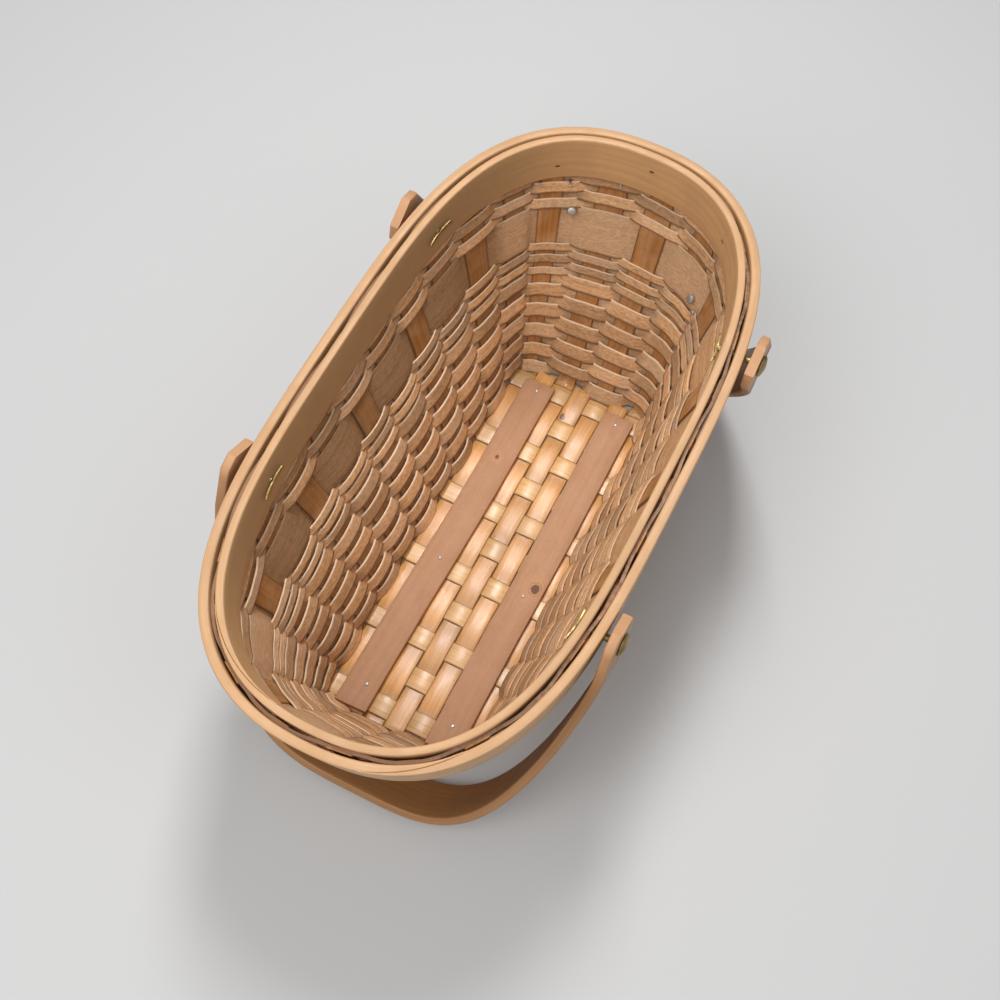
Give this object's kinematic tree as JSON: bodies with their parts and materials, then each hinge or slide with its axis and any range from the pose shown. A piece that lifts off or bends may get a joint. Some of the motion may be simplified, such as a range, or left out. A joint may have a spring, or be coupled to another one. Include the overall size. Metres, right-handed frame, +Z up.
{
  "type": "woven splint basket",
  "caption": "Long oval splint basket with a woven floor and walls, hoops at the rim and two bentwood handles that swing up on brass pins",
  "frame": {"origin": "on the table, under the middle of the floor", "axes": "+X along the basket's length, towards the handle that lies farther away in the picture; +Y across it, to the left; +Z up"},
  "size_m": [0.4488, 0.2494, 0.192],
  "materials": {
    "row_splint": "dusty tan-brown splints, matt with fuzzy light edges",
    "upright_splint": "orange-brown splints, darker on the walls and honey gold in the floor, satin",
    "floor_splint": "honey gold splints with fine grain, satin gloss",
    "slat_wood": "pinkish-brown sawn pine, matt, with knots",
    "nail_steel": "small zinc-plated nail heads",
    "hoop_wood": "light peach bent hardwood with rounded edges, satin",
    "pin_brass": "aged brass, satin",
    "handle_wood": "golden bent hardwood, satin"
  },
  "bodies": {
    "basket": {"side_stake_01": "upright_splint", "side_stake_02": "upright_splint", "side_stake_03": "upright_splint", "side_stake_04": "upright_splint", "side_stake_05": "upright_splint", "side_stake_06": "upright_splint", "side_stake_07": "upright_splint", "side_stake_08": "upright_splint", "side_stake_09": "upright_splint", "side_stake_10": "upright_splint", "side_stake_11": "upright_splint", "end_stake_01": "upright_splint", "end_stake_02": "upright_splint", "end_stake_03": "upright_splint", "end_stake_04": "upright_splint", "floor_splint_01": "floor_splint", "floor_splint_02": "floor_splint", "floor_splint_03": "floor_splint", "floor_slat_left": "slat_wood", "floor_slat_right": "slat_wood", "floor_slat_left_nail_1": "nail_steel", "floor_slat_left_nail_2": "nail_steel", "floor_slat_left_nail_3": "nail_steel", "floor_slat_right_nail_1": "nail_steel", "floor_slat_right_nail_2": "nail_steel", "floor_slat_right_nail_3": "nail_steel", "weaver_row_01": "row_splint", "weaver_row_02": "row_splint", "weaver_row_03": "row_splint", "weaver_row_04": "row_splint", "weaver_row_05": "row_splint", "weaver_row_06": "row_splint", "weaver_row_07": "row_splint", "weaver_row_08": "row_splint", "weaver_row_09": "row_splint", "weaver_row_10": "row_splint", "narrow_row_01": "row_splint", "narrow_row_02": "row_splint", "narrow_row_03": "row_splint", "narrow_row_04": "row_splint", "narrow_row_05": "row_splint", "wide_band": "row_splint", "upper_row_01": "row_splint", "upper_row_02": "row_splint", "upper_row_03": "row_splint", "upper_row_04": "row_splint", "rim_row": "row_splint", "outer_hoop": "hoop_wood", "inner_hoop": "hoop_wood", "pin_near_left": "pin_brass", "pin_near_right": "pin_brass", "pin_far_left": "pin_brass", "pin_far_right": "pin_brass"},
    "handle_near": {"handle_near": "handle_wood"},
    "handle_far": {"handle_far": "handle_wood"}
  },
  "joints": [
    {"name": "handle_near_swing", "type": "hinge", "parent": "basket", "child": "handle_near", "pos_m": [-0.0925, 0, 0.1743], "axis": [0, 1, 0], "range_deg": [0, 178]},
    {"name": "handle_far_swing", "type": "hinge", "parent": "basket", "child": "handle_far", "pos_m": [0.107, 0, 0.1743], "axis": [0, -1, 0], "range_deg": [0, 178]}
  ]
}
